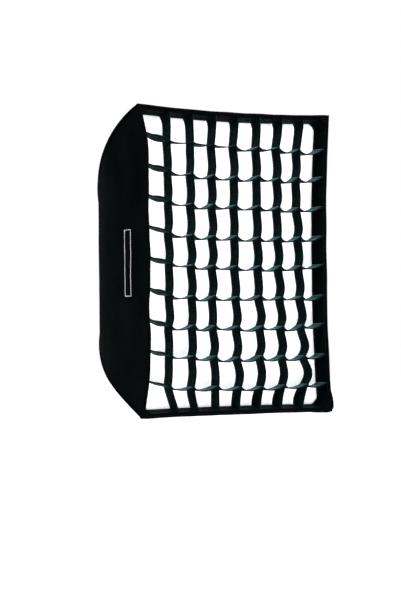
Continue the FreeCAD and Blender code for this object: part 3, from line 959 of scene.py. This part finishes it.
def make_straps():
    """Gathered elastic from the baffle's four cut corners out to the rods."""
    low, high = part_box("baffle_straps")
    angle = math.atan2(high.z, high.x)
    baffle_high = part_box("inner_baffle")[1]
    overlap = 0.016
    reach_in = baffle_high.x + baffle_high.z - baffle_corner_cut
    start = reach_in / (math.cos(angle) + math.sin(angle)) - overlap
    end = math.hypot(high.x, high.z) - 0.012
    middle_y = (low.y + high.y) / 2 + 0.0004
    half_width = 0.0066
    patches = []
    for corner_x, corner_z in CORNERS:
        along = Vector((corner_x * math.cos(angle), 0, corner_z * math.sin(angle)))
        across = Vector((-along.z, 0, along.x))
        rows = []
        for index, place in enumerate(spread(start, end, 40)):
            gather = 0.0004 * math.sin(index * 1.9)
            lift = Vector((0, middle_y + gather, 0))
            rows.append([along * place + across * width * (1 + gather * 60) + lift
                         for width in spread(-half_width, half_width, 5)])
        patches.append(rows)
    straps = new_object("baffle_elastic", *joined(patches))
    thicken(straps, 0.0012)
    finish_piece(straps, "box", elastic, ["baffle_straps"])


# ---- rod keeper loops ----
def make_keeper_loops():
    """The CAD loops' own shape, roughened as cloth."""
    mesh = nodes["rod_keeper_loops"].data
    places = [vertex.co.copy() for vertex in mesh.vertices]
    obj = new_object("rod_sleeves", places, [tuple(polygon.vertices) for polygon in mesh.polygons])
    for vertex in obj.data.vertices:
        place = vertex.co
        wobble = noise.noise(place * 160)
        vertex.co = place + vertex.normal * (0.0003 * wobble + 0.0002)
    finish_piece(obj, "box", webbing, ["rod_keeper_loops"])


# ---- rear cuff ----
def make_cuff():
    """Elastic that grips the ring, flares to the round hole and runs in under the walls."""
    ring_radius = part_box("speed_ring")[1].x
    rear_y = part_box("rear_cuff")[1].y
    knob_low, knob_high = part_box("lock_knob")
    columns = 240
    pleats = 48
    rows = []
    stations = [
        (ring_radius + 0.0006, rear_y),
        (ring_radius + 0.0022, rear_y + 0.0002),
        (ring_radius + 0.0026, rear_y - 0.002),
        (ring_radius + 0.0010, rear_y - 0.004),
        (ring_radius + 0.0018, rear_y - 0.0065),
        (ring_radius + 0.0050, rear_y - 0.009),
        (ring_radius + 0.0095, rear_y - 0.0118),
        (ring_radius + 0.0140, rear_y - 0.0150),
        (hole_radius - 0.0008, rear_y - 0.019),
    ]
    for index, (radius, y) in enumerate(stations):
        row = []
        fullness = math.sin(math.pi * index / (len(stations) - 1))
        for column in range(columns):
            angle = 2 * math.pi * column / columns
            pleat = 0.0009 * fullness * math.sin(pleats * angle + 1.4 * math.sin(5 * angle))
            row.append(cuff_point(radius + pleat, y, angle, knob_low, knob_high))
        rows.append(row)
    radius = hole_radius - 0.0004
    flare_end = rows[-1]
    for share in spread(0.2, 1, 5):
        row = []
        for column in range(columns):
            angle = 2 * math.pi * column / columns
            start = flare_end[column].y
            y = start + (cuff_end(angle) - start) * share
            row.append(Vector((radius * math.cos(angle), y, radius * math.sin(angle))))
        rows.append(row)
    cuff = sheet_object("elastic_cuff", rows, 0.0010, closed=True)
    finish_piece(cuff, "box", elastic, ["rear_cuff"])
    radius = hole_radius + 0.0006
    path = []
    for column in range(columns + 1):
        angle = 2 * math.pi * column / columns
        y = cuff_end(angle) + 0.0052
        path.append(Vector((radius * math.cos(angle), y, radius * math.sin(angle))))
    seam = tube_object("cuff_seam", [path], 0.0016, 8)
    finish_piece(seam, "box", webbing)


def cuff_point(radius, y, angle, knob_low, knob_high):
    """The cuff dips round the lock knob at the top."""
    centre_y = (knob_low.y + knob_high.y) / 2
    half = (knob_high.x - knob_low.x) / 2 + 0.0028
    place = Vector((radius * math.cos(angle), y, radius * math.sin(angle)))
    if place.z > 0 and abs(place.x) < half:
        floor = centre_y - math.sqrt(half * half - place.x * place.x)
        place.y = min(place.y, floor)
    return place


def cuff_end(angle):
    """Where the walls' rear edge lies on the round hole, as a Y."""
    x = abs(math.cos(angle)) * hole_radius
    z = abs(math.sin(angle)) * hole_radius
    depth_top = float(np.interp(-z, -profiles[2][1], profiles[2][0]))
    depth_side = float(np.interp(-x, -profiles[0][1], profiles[0][0]))
    return front_y + min(depth_top, depth_side) - 0.004


# ---- blank patch on the left wall ----
def patch_point(y, z, lift):
    """A point a little off the left wall's outer skin."""
    depth = y - front_y
    return wall_point("left", depth, z / reach(2, depth), -lift)


def make_patch():
    low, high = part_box("name_patch")
    rows = [[patch_point(y, z, 0.0007) for y in spread(low.y, high.y, 15)]
            for z in spread(low.z, high.z, 61)]
    patch = sheet_object("blank_patch", rows, 0.0006)
    finish_piece(patch, "box", webbing, ["name_patch"])
    margin = 0.004
    stitch = 0.0032
    near, far = low.y + margin, high.y - margin
    foot, head = low.z + margin, high.z - margin
    corners = [(near, foot), (far, foot), (far, head), (near, head), (near, foot)]
    paths = []
    for (y1, z1), (y2, z2) in zip(corners, corners[1:]):
        count = round(math.hypot(y2 - y1, z2 - z1) / (stitch * 1.35))
        for index in range(count):
            stops = [(index + part) / count for part in (0.1, 0.45, 0.8)]
            paths.append([patch_point(y1 + (y2 - y1) * t, z1 + (z2 - z1) * t, 0.0013) for t in stops])
    stitches = tube_object("patch_stitches", paths, 0.00065, 6, 0.6)
    finish_piece(stitches, "box", thread)


# ---- hardware that keeps its CAD shape ----
def dress_hardware():
    looks = {
        "bayonet_adapter": bayonet_metal,
        "speed_ring": ring_black,
        "rod_sockets": brass,
        "clip_screws": zinc,
        "lock_knob": knob_black,
        "lock_screw": zinc,
        "lock_pad": pad_rubber,
        "rod_ferrules": zinc,
        "rod_tip_caps": knob_black,
    }
    for number in range(1, 5):
        looks["rod_%d" % number] = rod_black
        looks["turn_clip_%d" % number] = zinc
    for name, material in looks.items():
        mesh = nodes[name].data
        mesh.materials.clear()
        mesh.materials.append(material)


# ---- studio ----
def area_light(name, place, target, size, power):
    light = bpy.data.lights.new(name, "AREA")
    light.shape = "RECTANGLE"
    light.size, light.size_y = size
    light.energy = power
    obj = bpy.data.objects.new(name, light)
    bpy.context.scene.collection.objects.link(obj)
    obj.location = place
    obj.rotation_euler = (Vector(target) - Vector(place)).to_track_quat("-Z", "Y").to_euler()


def make_studio():
    half = 30
    floor_z = -1.25
    corners = [(x, y, floor_z) for x, y in ((-half, -half), (half, -half), (half, half), (-half, half))]
    floor = new_object("floor", corners, [(0, 1, 2, 3)])
    floor.data.materials.append(pale_floor())
    world = bpy.data.worlds.new("studio")
    world.use_nodes = True
    background = world.node_tree.nodes["Background"]
    background.inputs["Color"].default_value = (1, 1, 1, 1)
    background.inputs["Strength"].default_value = 1.0
    bpy.context.scene.world = world
    centre = (0, -0.4, 0)
    area_light("top", (-0.7, -1.7, 3.0), centre, (1.8, 1.8), 400)
    area_light("fill", (3.2, -1.6, 0.8), centre, (2.0, 2.0), 300)
    area_light("rear", (2.4, 3.2, 2.2), centre, (2.0, 1.5), 500)


def make_camera():
    azimuth = math.radians(-32.9)
    elevation = math.radians(-0.82)
    roll = math.radians(-0.6)
    distance = 5.262
    focal_ratio = 3.33777         # focal length over the picture's height
    level = math.cos(elevation)
    back = Vector((math.sin(azimuth) * level, -math.cos(azimuth) * level, math.sin(elevation)))
    right = Vector((math.cos(azimuth), math.sin(azimuth), 0))
    up = back.cross(right)
    target = Vector((0, front_y, 0)) - right * 0.1003 - up * 0.0993
    rolled_right = right * math.cos(roll) + up * math.sin(roll)
    rolled_up = up * math.cos(roll) - right * math.sin(roll)
    camera = bpy.data.cameras.new("camera")
    camera.sensor_width = 36
    camera.lens = 36 * focal_ratio
    camera.clip_end = 200
    obj = bpy.data.objects.new("camera", camera)
    bpy.context.scene.collection.objects.link(obj)
    rotation = Matrix((rolled_right, rolled_up, back)).transposed().to_4x4()
    obj.matrix_world = Matrix.Translation(target + back * distance) @ rotation
    bpy.context.scene.camera = obj
    bpy.context.scene.view_settings.view_transform = "Standard"


make_camera()
make_walls()
make_ridges()
make_binding()
make_lip_tape()
make_corner_pockets()
make_corner_guards()
make_grid_border()
make_upright_strips()
make_level_strips()
make_diffuser()
make_hook_band()
make_baffle()
make_straps()
make_keeper_loops()
make_cuff()
make_patch()
dress_hardware()
make_studio()
